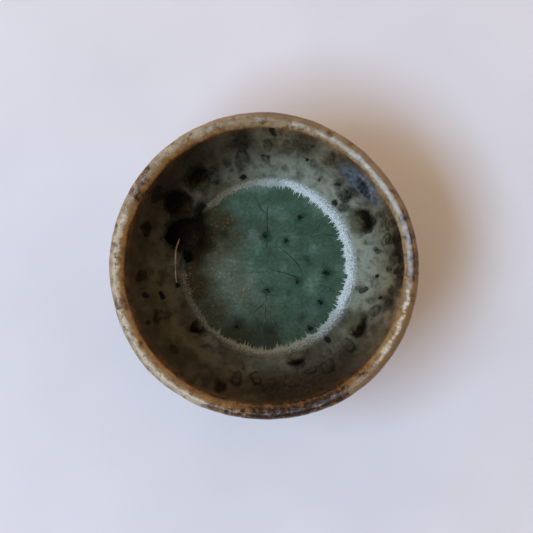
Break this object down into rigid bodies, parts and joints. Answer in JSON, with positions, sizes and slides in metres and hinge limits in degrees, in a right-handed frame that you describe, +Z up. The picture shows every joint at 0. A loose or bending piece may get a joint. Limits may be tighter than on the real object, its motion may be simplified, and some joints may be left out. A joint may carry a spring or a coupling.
{
  "type": "soba choko cup",
  "caption": "Small thrown stoneware dipping-sauce cup with leaning walls, a rounded lip, a trimmed foot ring, runny ash glaze and a pool of green glass in the bottom.",
  "frame": {"origin": "centre of the foot ring's resting face", "axes": "+Z up along the axis of the cup; +X and +Y follow the picture's right and top"},
  "size_m": [0.08, 0.08, 0.06],
  "materials": {
    "bare_stoneware": "unglazed, sandy, matte",
    "outer_ash_glaze": "satin, streaked cream to brown",
    "lip_ash_glaze": "glossy, cream over orange-brown",
    "inner_ash_glaze": "glossy, streaked grey-olive to brown-black",
    "green_ash_glass": "glossy green glass with crackle",
    "frost_crystals": "satin, crystalline, blue-white",
    "black_slag": "glossy black glass",
    "iron_spots": "glossy, iron black",
    "tan_ash_glass": "glossy, tan"
  },
  "bodies": {
    "root": {"clay_body": "bare_stoneware", "outer_glaze": "outer_ash_glaze", "lip_glaze": "lip_ash_glaze", "inner_glaze": "inner_ash_glaze", "glass_pool": "green_ash_glass", "frost_ring": "frost_crystals", "slag_clots": "black_slag", "iron_specks": "iron_spots", "ash_thread": "tan_ash_glass"}
  },
  "joints": []
}
